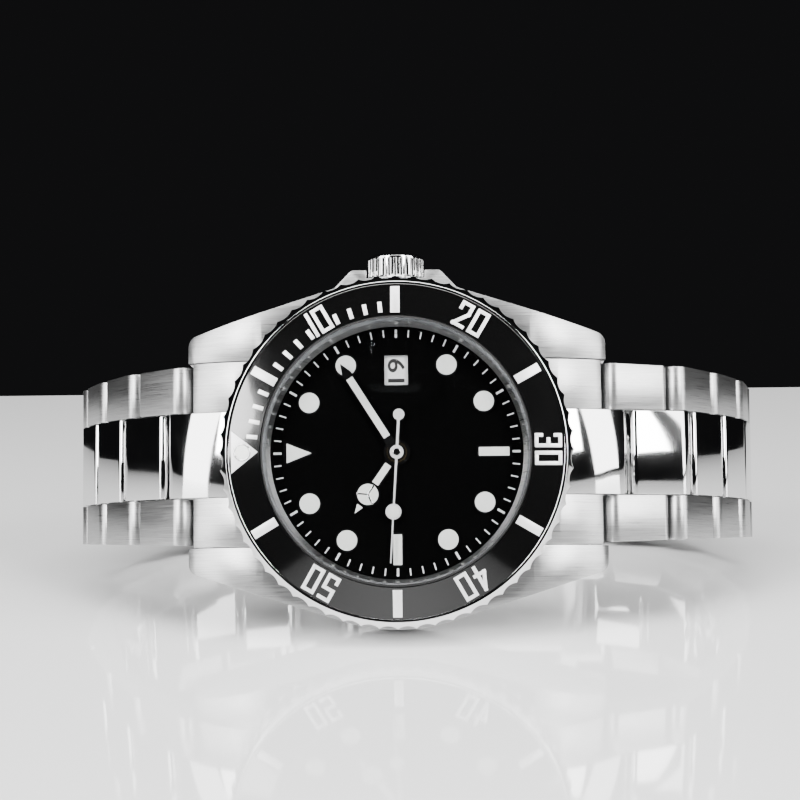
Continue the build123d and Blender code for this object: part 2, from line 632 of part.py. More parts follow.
def end_link(side):
    """Solid end link that fills the lugs, with a centre tongue round the first hinge pin."""
    (pin_y, pin_z), turn = FIRST_PIN, radians(TONGUE_TURN)
    reach, base = pin_y - HALF_LINK - LINK_GAP, pin_z - HALF_LINK
    half, groove = CENTRE_WIDTH / 2, CENTRE_WIDTH / 2 + SIDE_PLAY
    wall_corner = sqrt(WALL_RADIUS ** 2 - (LUG_GAP / 2) ** 2)
    body = block(-LUG_GAP / 2 + FACE, LUG_GAP / 2 - FACE, wall_corner, reach, -1, CASE_TOP)
    body &= extrude(lug_side(END_LINK_DROP, base), OVERLONG, both=True)
    body -= block(-groove, groove, 0, OVERLONG, base + 2 * HALF_LINK / 3, OVERLONG)
    top = (wall_corner, CASE_TOP - 2 * END_LINK_DROP)
    tip = (pin_y + HALF_LINK * cos(turn), pin_z + HALF_LINK * sin(turn))
    brow = TangentArc(top, tip, tangent=(1, 0))
    foot = Polyline(tip, (pin_y, base), (wall_corner, base), top)
    tongue = make_face([brow, *foot.edges()]) + Pos(pin_y, pin_z) * Circle(HALF_LINK)
    body += extrude(Plane.YZ * tongue, half, both=True)
    body -= disc(WALL_RADIUS + SEAT, -1, OVERLONG)
    body = body if side > 0 else mirror(body, about=Plane.XZ)
    for y, z, radius in (*FIRST_PIN, PIN_RADIUS + RUN), (*LUG_BAR, LUG_BAR_RADIUS + SEAT):
        body -= Pos(0, side * y, z) * Rot(Y=90) * Cylinder(radius, OVERLONG)
    return body


# ---------------------------------------------------------------- clasp
COVER_TOP = COVER_INSIDE + COVER_THICKNESS
COVER_START, COVER_END = 0.4, CLASP_LENGTH - 2.3
KNUCKLE = 0.9
LOCK_PIVOT = (CLASP_LENGTH - 12.7, COVER_TOP + 0.6)
LOCK_HALF_WIDTH = 5.5
SHELL_WALL = 0.85
EAR_RADIUS = 1.3


def clasp_shell():
    """Cover with side walls, two ears on the last link's pin and two ears for the folding blades."""
    half = CLASP_WIDTH / 2
    shell = block(COVER_START, COVER_END, COVER_INSIDE, COVER_TOP, -half, half)
    shell = fillet(shell.edges().filter_by(Axis.Y), 1.2)
    inner, outer = CENTRE_WIDTH / 2 + SIDE_PLAY, half - SHELL_WALL
    (x, y), (lock_x, lock_y) = SHELL_PIVOT, LOCK_PIVOT
    ear_top = COVER_INSIDE + 0.05
    ear = Circle(HALF_LINK) + Pos(2, HALF_LINK / 2) * Rectangle(4, HALF_LINK)
    ear += Pos(2.4, ear_top / 2) * Rectangle(3.2, ear_top)
    lug_height = lock_y - COVER_TOP
    lug = Pos(lock_x, lock_y) * Circle(0.55)
    lug += Pos(lock_x, COVER_TOP + lug_height / 2) * Rectangle(1.1, lug_height)
    for piece in (across(ear, inner, outer) - pin_rod(0, 0, outer - 0.5, PIN_RADIUS + SEAT),
                  block(3.5, COVER_END - 1.0, -0.9, COVER_INSIDE, outer, half),
                  block(x - 1.5, x + 1.5, -0.1, COVER_INSIDE, BLADE_WIDTH / 2 + FACE, outer),
                  across(lug, LOCK_HALF_WIDTH + FACE, LOCK_HALF_WIDTH + 1.3)):
        for side_piece in both_ways(piece, Plane.XY):
            shell += side_piece
    shell -= pin_rod(x, y, outer - 0.3, 0.5 + SEAT)
    return shell - pin_rod(lock_x, lock_y, LOCK_HALF_WIDTH + 0.9, 0.25 + SEAT)


def clasp_shell_pins():
    """Pins held in the shell: bracelet end, folding blades, safety lock."""
    outer = CLASP_WIDTH / 2 - SHELL_WALL
    return [pin_rod(0, 0, outer - 0.6), pin_rod(*SHELL_PIVOT, outer - 0.4, 0.5),
            pin_rod(*LOCK_PIVOT, LOCK_HALF_WIDTH + 0.8, 0.25)]


def middle_blade():
    """Blade from the shell's pivot back to the blades' common pivot, with that pivot's pin."""
    half, tongue = BLADE_WIDTH / 2, BLADE_WIDTH / 4
    (x0, y0), (x1, y1) = BLADE_PIVOT, SHELL_PIVOT
    low = y1 - BLADE_THICKNESS / 2
    blade = block(x0 + KNUCKLE + 0.4, x1, low, low + BLADE_THICKNESS, -half, half)
    blade += block(x0, x0 + KNUCKLE + 0.5, low, low + BLADE_THICKNESS, -tongue, tongue)
    blade += Pos(x0, y0) * Cylinder(KNUCKLE, 2 * tongue)
    blade += Pos(x1, y1) * Cylinder(KNUCKLE - 0.05, 2 * half)
    blade -= pin_rod(x1, y1, OVERLONG, 0.5 + RUN)
    blade -= pin_rod(x0, y0, OVERLONG, 0.5 + SEAT)
    return [blade, pin_rod(x0, y0, half - 0.3, 0.5)]


def inner_blade():
    """Blade from the common pivot to the free pivot on the last link, under the middle blade."""
    half, tongue = BLADE_WIDTH / 2, BLADE_WIDTH / 4 + FACE
    x0, y0 = BLADE_PIVOT
    low = -BLADE_THICKNESS - 0.35
    reach, ear_outer = CLASP_LENGTH - 3.6, CLASP_WIDTH / 2 - SHELL_WALL - 0.4
    blade = block(x0 + KNUCKLE + 0.4, reach, low, low + BLADE_THICKNESS, -half, half)
    bend = block(x0 - 0.5, x0 + KNUCKLE + 0.5, low, low + BLADE_THICKNESS, tongue, half)
    knuckle = Pos(x0, y0, (tongue + half) / 2) * Cylinder(KNUCKLE, half - tongue)
    ear_inner = CENTRE_WIDTH / 2 + SIDE_PLAY
    arm = block(reach - 2, CLASP_LENGTH, -EAR_RADIUS, -0.25, ear_inner, ear_outer)
    ear = Pos(CLASP_LENGTH, 0, 0) * across(Circle(EAR_RADIUS), ear_inner, ear_outer)
    for piece in (bend, knuckle, arm, ear):
        for side_piece in both_ways(piece, Plane.XY):
            blade += side_piece
    return blade - pin_rod(x0, y0, OVERLONG, 0.5 + RUN)


def safety_lock():
    """Flip-over lock with a lip that closes on the cover's end."""
    x, y = LOCK_PIVOT
    top = y + 0.35
    end = COVER_END + 0.6
    plate = Pos(x, y) * Circle(0.5) + Pos((x + end) / 2, y) * Rectangle(end - x, 0.7)
    lip = Pos(COVER_END + 0.35, (top + COVER_INSIDE + 0.2) / 2) * Rectangle(0.5, top - COVER_INSIDE - 0.2)
    lock = across(plate + lip, -LOCK_HALF_WIDTH, LOCK_HALF_WIDTH)
    return lock - pin_rod(x, y, OVERLONG, 0.25 + RUN)


# ---------------------------------------------------------------- how it stands
def lean_angle():
    """Angle at which the case flank and the clasp's edge both touch the ground."""
    drop = CASE_RADIUS - CLASP_WIDTH / 2
    return degrees(atan2(drop, CASE_BOTTOM - CLASP_START[1] + COVER_TOP))


def placed_in_clasp(pieces):
    place = link_place(1, CLASP_START, CLASP_SLOPE)
    return [place * piece for piece in (pieces if isinstance(pieces, list) else [pieces])]


def all_pieces():
    """Every node's name with its solids, in the watch's own frame."""
    pieces = {
        "case_middle": case_middle(), "case_back": case_back(), "case_back_gasket": case_back_gasket(),
        "crown_tube": crown_tube(), "rehaut_ring": rehaut_ring(), "crystal": crystal(),
        "crystal_gasket": crystal_gasket(), "date_magnifier": magnifier(),
        "bezel_ring": bezel_ring(), "bezel_insert": bezel_insert(),
        "bezel_click_spring": bezel_click_spring(),
        "dial": dial(), "hour_markers": hour_markers(), "date_disc": date_disc(),
        "hour_hand": hour_hand(), "minute_hand": minute_hand(), "seconds_hand": seconds_hand(),
        "crown": crown(), "crown_gasket": crown_gasket(), "winding_stem": winding_stem(),
        "main_plate": main_plate(), "train_bridge": train_bridge(), "balance_cock": balance_cock(),
        "bridge_screws": bridge_screws(), "hour_wheel": hour_wheel(), "centre_wheel": centre_wheel(),
        "third_wheel": third_wheel(), "fourth_wheel": fourth_wheel(), "escape_wheel": escape_wheel(),
        "mainspring_barrel": barrel(), "pallet_fork": pallet_fork(), "balance_wheel": balance_wheel(),
        "rotor": rotor(), "rotor_post": rotor_post(),
        "end_link_12": end_link(1), "end_link_6": end_link(-1), "lug_spring_bars": lug_spring_bars(),
        "clasp_shell": placed_in_clasp(clasp_shell()),
        "clasp_shell_pins": placed_in_clasp(clasp_shell_pins()),
        "clasp_middle_blade": placed_in_clasp(middle_blade()),
        "clasp_inner_blade": placed_in_clasp(inner_blade()),
        "safety_lock": placed_in_clasp(safety_lock()),
    }
    for name, side, pins, slopes in (("link_12", 1, PINS_12, SLOPES_12),
                                     ("link_6", -1, PINS_6, CLOSED_SLOPES_6)):
        for index, solids in enumerate(bracelet_links(side, pins, slopes)):
            pieces[f"{name}_{index + 1}"] = solids
    return pieces


def as_compound(solids):
    """One compound of plain solids, whatever a modelling step returned."""
    parts = solids if isinstance(solids, list) else [solids]
    return Compound(children=[solid for part in parts for solid in part.solids()])


def standing(pieces):
    """Placement of the watch: dial to -Y, twelve o'clock to -X, crown up, leaned back on the clasp."""
    upright = Rot(X=-lean_angle()) * Location(Plane(origin=(0, 0, 0), x_dir=(0, 0, 1), z_dir=(0, -1, 0)))
    box = Compound(children=[upright * piece for piece in pieces.values()]).bounding_box(optimal=True)
    return Pos(-(box.min.X + box.max.X) / 2, -(box.min.Y + box.max.Y) / 2, -box.min.Z) * upright


PIECES = {name: as_compound(solids) for name, solids in all_pieces().items()}
STAND = standing(PIECES)
os.makedirs("parts", exist_ok=True)
for name, piece in PIECES.items():
    export_step(STAND * piece, f"parts/{name}.step")
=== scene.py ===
import json
import math

import bpy
from mathutils import Matrix, Vector


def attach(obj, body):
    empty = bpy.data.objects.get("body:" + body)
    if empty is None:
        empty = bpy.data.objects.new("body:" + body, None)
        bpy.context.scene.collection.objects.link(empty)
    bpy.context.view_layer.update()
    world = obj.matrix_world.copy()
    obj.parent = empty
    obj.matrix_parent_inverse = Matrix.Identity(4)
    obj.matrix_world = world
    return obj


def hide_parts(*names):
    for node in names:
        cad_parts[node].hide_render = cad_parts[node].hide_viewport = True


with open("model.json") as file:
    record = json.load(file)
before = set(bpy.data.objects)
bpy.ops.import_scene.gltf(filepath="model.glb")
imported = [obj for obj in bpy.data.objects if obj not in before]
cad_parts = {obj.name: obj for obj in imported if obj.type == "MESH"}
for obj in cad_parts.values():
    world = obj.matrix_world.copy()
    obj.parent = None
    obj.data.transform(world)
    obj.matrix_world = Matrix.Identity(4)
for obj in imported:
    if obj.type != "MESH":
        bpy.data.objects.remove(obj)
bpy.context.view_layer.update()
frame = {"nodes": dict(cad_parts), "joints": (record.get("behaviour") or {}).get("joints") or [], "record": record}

NODES = frame["nodes"]
JOINTS = {joint["name"]: joint for joint in frame["joints"]}
MM = 0.001

# ---------------------------------------------------------------- the watch's own frame
# X to the crown, Y to twelve o'clock, Z out of the dial, zero on the hands' axis at the case back
CROWN_WAY = Vector(JOINTS["crown_turn"]["axis"])
DIAL_WAY = Vector(JOINTS["minutes_turn"]["axis"])
NOON_WAY = DIAL_WAY.cross(CROWN_WAY)
ON_AXIS = Vector(JOINTS["minutes_turn"]["pos_m"])


def heights(node):
    """Lowest and highest point of a CAD node along the dial's axis, in metres from ON_AXIS."""
    levels = [(vertex.co - ON_AXIS).dot(DIAL_WAY) for vertex in NODES[node].data.vertices]
    return min(levels), max(levels)


BACK = ON_AXIS + DIAL_WAY * heights("case_back")[0]
WATCH = Matrix.Translation(BACK) @ Matrix((CROWN_WAY, NOON_WAY, DIAL_WAY)).transposed().to_4x4()
WATCH_MM = WATCH @ Matrix.Scale(MM, 4)


def top_of(node):
    """Height of a node's top above the case back, in millimetres."""
    return (heights(node)[1] - heights("case_back")[0]) / MM


def rest_angle(node):
    """Clockwise angle from twelve, in radians, at which a hand's far end points."""
    centre = [WATCH.inverted() @ vertex.co for vertex in NODES[node].data.vertices]
    far = max(centre, key=lambda point: point.x ** 2 + point.y ** 2)
    return math.atan2(far.x, far.y)


DIAL_TOP = top_of("dial")
MARKER_TOP = top_of("hour_markers")
INSERT_IN, INSERT_OUT = 15.87, 19.5       # millimetres from the axis
INSERT_IN_TOP = top_of("bezel_insert")
MIDDLE_ROW_HALF = 5.04                    # from the bracelet's middle line to the gap beside its middle row
INSERT_SLOPE = 0.65 / (INSERT_OUT - INSERT_IN)


# ---------------------------------------------------------------- shader maths
class Wire:
    """A shader socket on which Python's operators add Math nodes."""

    def __init__(self, nodes, links, socket):
        self.nodes, self.links, self.socket = nodes, links, socket

    def made(self, kind, settings=None, output=0, **values):
        """A new node of this material, with its settings, then its sockets' values or links."""
        node = self.nodes.new(kind)
        for name, value in (settings or {}).items():
            if name == "stops":
                stops = node.color_ramp.elements
                while len(stops) < len(value):
                    stops.new(0.5)
                for stop, (place, colour) in zip(stops, value):
                    stop.position, stop.color = place, colour
            else:
                setattr(node, name, value)
        for name, value in values.items():
            socket = node.inputs[int(name[1:]) if name[1:].isdigit() else name.replace("_", " ")]
            if isinstance(value, Wire):
                self.links.new(value.socket, socket)
            else:
                socket.default_value = value
        return Wire(self.nodes, self.links, node.outputs[output])

    def math(self, operation, *values):
        numbers = {f"i{place}": value for place, value in enumerate(values)}
        return self.made("ShaderNodeMath", {"operation": operation}, **numbers)

    def __add__(self, other): return self.math("ADD", self, other)
    def __radd__(self, other): return self.math("ADD", other, self)
    def __sub__(self, other): return self.math("SUBTRACT", self, other)
    def __rsub__(self, other): return self.math("SUBTRACT", other, self)
    def __mul__(self, other): return self.math("MULTIPLY", self, other)
    def __rmul__(self, other): return self.math("MULTIPLY", other, self)
    def __truediv__(self, other): return self.math("DIVIDE", self, other)


class Finish:
    """A material with its Principled shader, and the watch's own coordinates in millimetres."""

    def __init__(self, name, **fixed):
        self.material = bpy.data.materials.new(name)
        self.material.use_nodes = True
        tree = self.material.node_tree
        self.shader = tree.nodes["Principled BSDF"]
        self.links = tree.links
        self.start = Wire(tree.nodes, tree.links, None)
        for socket, value in fixed.items():
            self.shader.inputs[socket.replace("_", " ")].default_value = value
        self.place = self.start.made("ShaderNodeTexCoord", output=3)

    def feed(self, socket, wire):
        self.links.new(wire.socket, self.shader.inputs[socket])

    def along(self, way):
        """Distance along one of the watch's ways, in millimetres."""
        offset = -BACK.dot(way) / MM
        dot = self.start.made("ShaderNodeVectorMath", {"operation": "DOT_PRODUCT"}, output=1,
                              i0=self.place, i1=tuple(way / MM))
        return dot + offset

    def vector(self, x, y, z):
        return self.start.made("ShaderNodeCombineXYZ", X=x, Y=y, Z=z)

    def noise(self, vector, scale, detail=2.0, rough=0.5):
        return self.start.made("ShaderNodeTexNoise", Vector=vector, Scale=scale, Detail=detail,
                               Roughness=rough)

    def brushing(self, stretch):
        """Fine lines that run round the bracelet, varying across it, long by a small stretch."""
        across, along = self.along(CROWN_WAY) * 14.0, self.along(NOON_WAY) * stretch
        return self.noise(self.vector(across, along, self.along(DIAL_WAY) * stretch), 1.0, 5.0, 0.7)

    def ramp(self, wire, *stops):
        return self.start.made("ShaderNodeValToRGB", {"stops": stops}, Fac=wire)

    def scaled(self, wire, low, high, start=0.0, end=1.0):
        """The wire's range from start to end, stretched to low to high and held there."""
        return self.start.made("ShaderNodeMapRange", Value=wire, From_Min=start, From_Max=end,
                               To_Min=low, To_Max=high)

    def mix(self, factor, first, second):
        return self.start.made("ShaderNodeMix", {"data_type": "RGBA"}, output=2,
                               i0=factor, i6=first, i7=second)

    def bump(self, height, strength, distance=0.00002):
        normal = self.start.made("ShaderNodeBump", Height=height, Strength=strength, Distance=distance)
        self.feed("Normal", normal)


def grey(value, alpha=1.0):
    return (value, value, value, alpha)


def smudges(finish, roughness, spread):
    """Faint uneven gloss, as handling leaves on metal and glass."""
    cloud = finish.noise(finish.place, 160.0, 4.0, 0.6)
    finish.feed("Roughness", finish.scaled(cloud, roughness, roughness + spread, 0.35, 0.7))


def polished_steel():
    finish = Finish("polished_steel", Metallic=1.0)
    cloud = finish.noise(finish.place, 90.0, 3.0)
    finish.feed("Base Color", finish.mix(cloud, grey(0.62), grey(0.7)))
    smudges(finish, 0.05, 0.06)
    scratches = finish.noise(finish.vector(finish.along(CROWN_WAY) * 9.0, finish.along(NOON_WAY) * 0.4,
                                           finish.along(DIAL_WAY) * 0.4), 3.0, 2.0)
    finish.bump(scratches, 0.03)
    return finish.material


def brushed_steel():
    """Satin steel with brushing along the bracelet."""
    finish = Finish("brushed_steel", Metallic=1.0)
    lines = finish.brushing(0.25)
    broad = finish.scaled(finish.noise(finish.place, 60.0, 2.0), -0.02, 0.03, 0.3, 0.7)
    finish.feed("Base Color", finish.mix(finish.scaled(lines, 0.0, 1.0, 0.3, 0.7), grey(0.516), grey(0.648)))
    finish.feed("Roughness", finish.scaled(lines, 0.22, 0.4, 0.25, 0.75) + broad)
    finish.bump(lines, 0.35)
    return finish.material


def bracelet_steel():
    """Brushed outer pieces and a polished middle row, told apart by the distance from the middle line."""
    finish = Finish("bracelet_steel", Metallic=1.0)
    row = finish.start.math("ABSOLUTE", finish.along(CROWN_WAY))
    outer = finish.start.math("GREATER_THAN", row, MIDDLE_ROW_HALF)
    lines = finish.brushing(0.2)
    brushed = finish.mix(finish.scaled(lines, 0.0, 1.0, 0.3, 0.7), grey(0.26), grey(0.48))
    finish.feed("Base Color", finish.mix(outer, grey(0.68), brushed))
    satin = finish.scaled(lines, 0.24, 0.4, 0.25, 0.75)
    cloud = finish.scaled(finish.noise(finish.place, 200.0, 3.0), 0.04, 0.09, 0.35, 0.7)
    finish.feed("Roughness", cloud + outer * (satin - cloud))
    finish.bump(lines * outer, 0.35)
    return finish.material


def glossy_black(name, tone, roughness, coat):
    finish = Finish(name, Specular_IOR_Level=0.6, Coat_Roughness=0.02)
    grain = finish.noise(finish.place, 4000.0, 2.0)
    finish.feed("Base Color", finish.mix(grain, grey(tone * 0.7), grey(tone * 1.4)))
    smudges(finish, roughness, 0.03)
    finish.feed("Coat Weight", finish.scaled(finish.noise(finish.place, 50.0), coat - 0.1, coat, 0.3, 0.7))
    return finish.material


def luminous_paint():
    """Milky luminous fill with the fine grain of its powder."""
    finish = Finish("luminous_paint", Specular_IOR_Level=0.3)
    grain = finish.noise(finish.place, 9000.0, 3.0)
    finish.feed("Base Color", finish.mix(grain, (0.74, 0.76, 0.72, 1.0), (0.9, 0.91, 0.88, 1.0)))
    finish.feed("Roughness", finish.scaled(grain, 0.45, 0.6))
    finish.bump(grain, 0.1)
    return finish.material


def print_ink(name, tone):
    finish = Finish(name)
    grain = finish.noise(finish.place, 6000.0, 2.0)
    finish.feed("Base Color", finish.mix(grain, grey(tone * 0.93), grey(tone)))
    finish.feed("Roughness", finish.scaled(grain, 0.4, 0.5))
    return finish.material


def silver_fill():
    """Bright satin metal deposited in the insert's engraved scale."""
    finish = Finish("silver_fill", Metallic=0.55)
    grain = finish.noise(finish.place, 7000.0, 3.0)
    finish.feed("Base Color", finish.mix(grain, grey(0.72), grey(0.88)))
    finish.feed("Roughness", finish.scaled(grain, 0.36, 0.5))
    finish.bump(grain, 0.1)
    return finish.material


def sapphire():
    """Clear crystal, see-through to light and shadow."""
    finish = Finish("sapphire", Metallic=1.0, Base_Color=(0.9, 0.95, 1.0, 1.0))
    finish.feed("Roughness", finish.scaled(finish.noise(finish.place, 70.0), 0.0, 0.02, 0.4, 0.8))
    edge = finish.start.made("ShaderNodeFresnel", IOR=1.4)
    finish.feed("Alpha", finish.scaled(edge, 0.004, 0.9, 0.03, 0.7))
    return finish.material


def rubber():
    finish = Finish("gasket_rubber")
    grain = finish.noise(finish.place, 5000.0, 3.0)
    finish.feed("Base Color", finish.mix(grain, grey(0.008), grey(0.02)))
    finish.feed("Roughness", finish.scaled(grain, 0.35, 0.55))
    return finish.material


def gilt_brass():
    finish = Finish("gilt_brass", Metallic=1.0)
    cloud = finish.noise(finish.place, 300.0, 3.0)
    finish.feed("Base Color", finish.mix(cloud, (0.62, 0.46, 0.2, 1.0), (0.76, 0.6, 0.3, 1.0)))
    finish.feed("Roughness", finish.scaled(cloud, 0.2, 0.32))
    return finish.material


def floor_gloss():
    finish = Finish("white_acrylic", Specular_IOR_Level=0.5)
    cloud = finish.noise(finish.place, 5.0, 3.0)
    finish.feed("Base Color", finish.mix(cloud, grey(0.84), grey(0.88)))
    finish.feed("Roughness", finish.scaled(cloud, 0.03, 0.06))
    return finish.material


POLISHED = polished_steel()
BRUSHED = brushed_steel()
LINKS = bracelet_steel()
CERAMIC = glossy_black("black_ceramic", 0.002, 0.04, 1.0)
DIAL_BLACK = glossy_black("dial_lacquer", 0.0015, 0.08, 0.6)
LUME = luminous_paint()
WHITE_INK, BLACK_INK = print_ink("white_print", 0.85), print_ink("black_print", 0.01)
SILVER = silver_fill()
SAPPHIRE = sapphire()
RUBBER = rubber()
BRASS = gilt_brass()


# ---------------------------------------------------------------- modelling helpers
def fresh():
    bpy.ops.object.select_all(action="DESELECT")


def finished(piece, name, material, body, sharp=35.0):
    """Names a piece modelled in the watch's frame in millimetres, puts it in place and lets it ride."""
    piece.name = name
    piece.data.transform(piece.matrix_world)
    piece.matrix_world = Matrix.Identity(4)
    piece.data.transform(WATCH_MM)
    fresh()
    piece.select_set(True)
    bpy.context.view_layer.objects.active = piece
    bpy.ops.object.shade_smooth_by_angle(angle=math.radians(sharp))
    piece.data.materials.clear()
    piece.data.materials.append(material)
    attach(piece, body)
    return piece


def applied(piece, kind, **settings):
    """Adds a modifier with these settings and applies it."""
    fresh()
    piece.select_set(True)
    bpy.context.view_layer.objects.active = piece
    modifier = piece.modifiers.new(kind.lower(), kind)
    for name, value in settings.items():
        setattr(modifier, name, value)
    bpy.ops.object.modifier_apply(modifier=modifier.name)
    return piece


def joined(pieces):
    fresh()
    for piece in pieces:
        piece.select_set(True)
    bpy.context.view_layer.objects.active = pieces[0]
    bpy.ops.object.join()
    return pieces[0]


def turned_to(piece, clock_angle):
    """Turns a piece's mesh clockwise about the dial's centre, an angle from twelve in radians."""
    piece.data.transform(piece.matrix_world)
    piece.matrix_world = Matrix.Identity(4)
    piece.data.transform(Matrix.Rotation(-clock_angle, 4, "Z"))
    return piece


def eased_copy(node, width, segments=2):
    """A copy of a CAD node with its edges broken, as a polisher leaves them."""
    piece = NODES[node].copy()
    piece.data = NODES[node].data.copy()
    piece.parent = None
    bpy.context.scene.collection.objects.link(piece)
    piece.name = node + "_finished"
    fresh()
    piece.select_set(True)
    bpy.context.view_layer.objects.active = piece
    bpy.ops.object.mode_set(mode="EDIT")
    bpy.ops.mesh.select_all(action="SELECT")
    bpy.ops.mesh.remove_doubles(threshold=0.000002)
    bpy.ops.mesh.dissolve_limited(angle_limit=math.radians(0.6))
    bpy.ops.object.mode_set(mode="OBJECT")
    applied(piece, "BEVEL", width=width * MM, segments=segments, limit_method="ANGLE",
            angle_limit=math.radians(40.0), harden_normals=False, use_clamp_overlap=True)
    return piece


# ---------------------------------------------------------------- the dial side
def bar(width, inner, outer, bottom, top, edge=0.04):
    """A bar that runs outwards along noon, with broken edges."""
    fresh()
    bpy.ops.mesh.primitive_cube_add(size=1.0, location=(0.0, (inner + outer) / 2, (bottom + top) / 2),
                                    scale=(width, outer - inner, top - bottom))
    piece = bpy.context.active_object
    return applied(piece, "BEVEL", width=edge, segments=2, limit_method="ANGLE")


def pad(radius, at, bottom, top, edge=0.08, sides=48):
    """A round pad with a rolled edge, at a distance from the dial's centre."""
    fresh()
    bpy.ops.mesh.primitive_cylinder_add(vertices=sides, radius=radius, depth=top - bottom,
                                        location=(0.0, at, (bottom + top) / 2))
    piece = bpy.context.active_object
    return applied(piece, "BEVEL", width=edge, segments=3, limit_method="ANGLE")


def wedge(width, base, tip, bottom, top, edge=0.06):
    """A three-cornered pad with its base at one radius and its tip at another."""
    fresh()
    bpy.ops.mesh.primitive_cylinder_add(vertices=3, radius=1.0, depth=top - bottom, location=(0.0, 0.0, 0.0))
    piece = bpy.context.active_object
    foot = min(vertex.co.y for vertex in piece.data.vertices)
    head = max(vertex.co.y for vertex in piece.data.vertices)
    half = max(vertex.co.x for vertex in piece.data.vertices)
    shape = Matrix.Diagonal((width / 2 / half, (tip - base) / (head - foot), 1.0, 1.0))
    place = Matrix.Translation((0.0, base, (bottom + top) / 2))
    piece.data.transform(place @ shape @ Matrix.Translation((0.0, -foot, 0.0)))
    fresh()
    piece.select_set(True)
    bpy.context.view_layer.objects.active = piece
    bpy.ops.object.mode_set(mode="EDIT")
    bpy.ops.mesh.select_all(action="SELECT")
    bpy.ops.mesh.normals_make_consistent(inside=False)
    bpy.ops.object.mode_set(mode="OBJECT")
    return applied(piece, "BEVEL", width=edge, segments=3, limit_method="ANGLE")


def minute_track():
    """The printed minute scale, with a longer, thicker stroke at each hour."""
    strokes = []
    for minute in range(60):
        hour = minute % 5 == 0
        stroke = bar(0.26 if hour else 0.15, 13.55 if hour else 13.65, 14.5, DIAL_TOP, DIAL_TOP + 0.02, 0.004)
        strokes.append(turned_to(stroke, math.radians(6.0 * minute)))
    finished(joined(strokes), "minute_track", WHITE_INK, "case")


def marker_lume():
    """The luminous fill of the applied markers, inside their polished rims."""
    top, floor = MARKER_TOP + 0.05, MARKER_TOP - 0.1
    fills = [turned_to(wedge(2.35, 12.95, 10.0, floor, top), 0.0)]
    for hour in (1, 2, 4, 5, 7, 8, 10, 11):
        fills.append(turned_to(pad(1.2, 11.85, floor, top), math.radians(30.0 * hour)))
    for hour in (6, 9):
        fills.append(turned_to(bar(1.05, 9.6, 13.2, floor, top, 0.08), math.radians(30.0 * hour)))
    finished(joined(fills), "marker_lume", LUME, "case")


def hour_hand_lume():
    """Luminous fields in the arm, round the forked divider and in the tip."""
    top = top_of("hour_hand")
    field = pad(1.24, 6.0, top - 0.05, top + 0.04)
    point = wedge(0.8, 7.6, 8.75, top - 0.05, top + 0.04, 0.03)
    arm = bar(0.84, 1.75, 4.5, top - 0.05, top + 0.04, 0.05)
    fills = joined([turned_to(piece, 0.0) for piece in (field, point, arm)])
    finished(turned_to(fills, rest_angle("hour_hand")), "hour_hand_lume", LUME, "hours")
    ribs = []
    for turn in (0.0, 120.0, 240.0):
        rib = bar(0.2, 0.0, 1.3, top - 0.02, top + 0.09, 0.03)
        rib = turned_to(rib, math.radians(turn + 180.0))
        rib.data.transform(Matrix.Translation((0.0, 6.0, 0.0)))
        ribs.append(rib)
    forked = turned_to(joined(ribs), rest_angle("hour_hand"))
    finished(forked, "hour_hand_divider", POLISHED, "hours")


def minute_hand_lume():
    top = top_of("minute_hand")
    strip = bar(0.84, 2.1, 10.3, top - 0.05, top + 0.04, 0.05)
    fill = turned_to(strip, rest_angle("minute_hand"))
    finished(fill, "minute_hand_lume", LUME, "minutes")


def seconds_hand_trim():
    """The luminous dot on the seconds hand and the polished cap over its hub."""
    top = top_of("seconds_hand")
    dot = turned_to(pad(0.7, 7.0, top - 0.03, top + 0.05), rest_angle("seconds_hand"))
    finished(dot, "seconds_hand_lume", LUME, "seconds")
    cap = pad(0.45, 0.0, top - 0.05, top + 0.12, 0.06)
    finished(cap, "hub_cap", POLISHED, "seconds")


def figures(text, size, thickness, widen=1.0, heavier=0.0):
    """Upright figures lying in the dial's plane, centred, facing up."""
    fresh()
    bpy.ops.object.text_add(location=(0.0, 0.0, 0.0))
    label = bpy.context.active_object
    label.data.body = text
    label.data.size = size
    label.data.align_x, label.data.align_y = "CENTER", "CENTER"
    label.data.extrude = thickness / 2
    label.data.offset = heavier
    fresh()
    label.select_set(True)
    bpy.context.view_layer.objects.active = label
    bpy.ops.object.convert(target="MESH")
    piece = bpy.context.active_object
    low = Vector([min(vertex.co[axis] for vertex in piece.data.vertices) for axis in range(3)])
    high = Vector([max(vertex.co[axis] for vertex in piece.data.vertices) for axis in range(3)])
    piece.data.transform(Matrix.Diagonal((widen, 1.0, 1.0, 1.0)) @ Matrix.Translation(-(low + high) / 2))
    return piece


def date_figures():
    window = 9.7
    day = figures("19", 2.75, 0.03, 1.3, 0.035)
    day.data.transform(Matrix.Translation((window, 0.0, top_of("date_disc") + 0.02)))
    finished(day, "date_figures", BLACK_INK, "date")


# ---------------------------------------------------------------- the bezel's scale
# each figure as runs of points on a grid that reaches from -1 to 1 both ways
STROKES = {
    "0": (((-1, -1), (1, -1), (1, 1), (-1, 1), (-1, -1)),),
    "1": (((0, -1), (0, 1)),),
    "2": (((-1, 0.5), (-1, 1), (1, 1), (1, 0.2), (-1, -1), (1, -1)),),
    "3": (((-1, 0.6), (-1, 1), (1, 1), (1, -1), (-1, -1), (-1, -0.6)), ((-0.2, 0), (1, 0))),
    "4": (((0.4, -1), (0.4, 1), (-1, -0.35), (1, -0.35)),),
    "5": (((1, 1), (-1, 1), (-1, 0.1), (1, 0.1), (1, -1), (-1, -1), (-1, -0.6)),),
}
FIGURE_HALF_WIDTH, FIGURE_HALF_HEIGHT, FIGURE_STROKE = 0.6, 1.4, 0.42
FIGURES_AT, PIP_AT = 17.65, 17.95         # millimetres from the axis


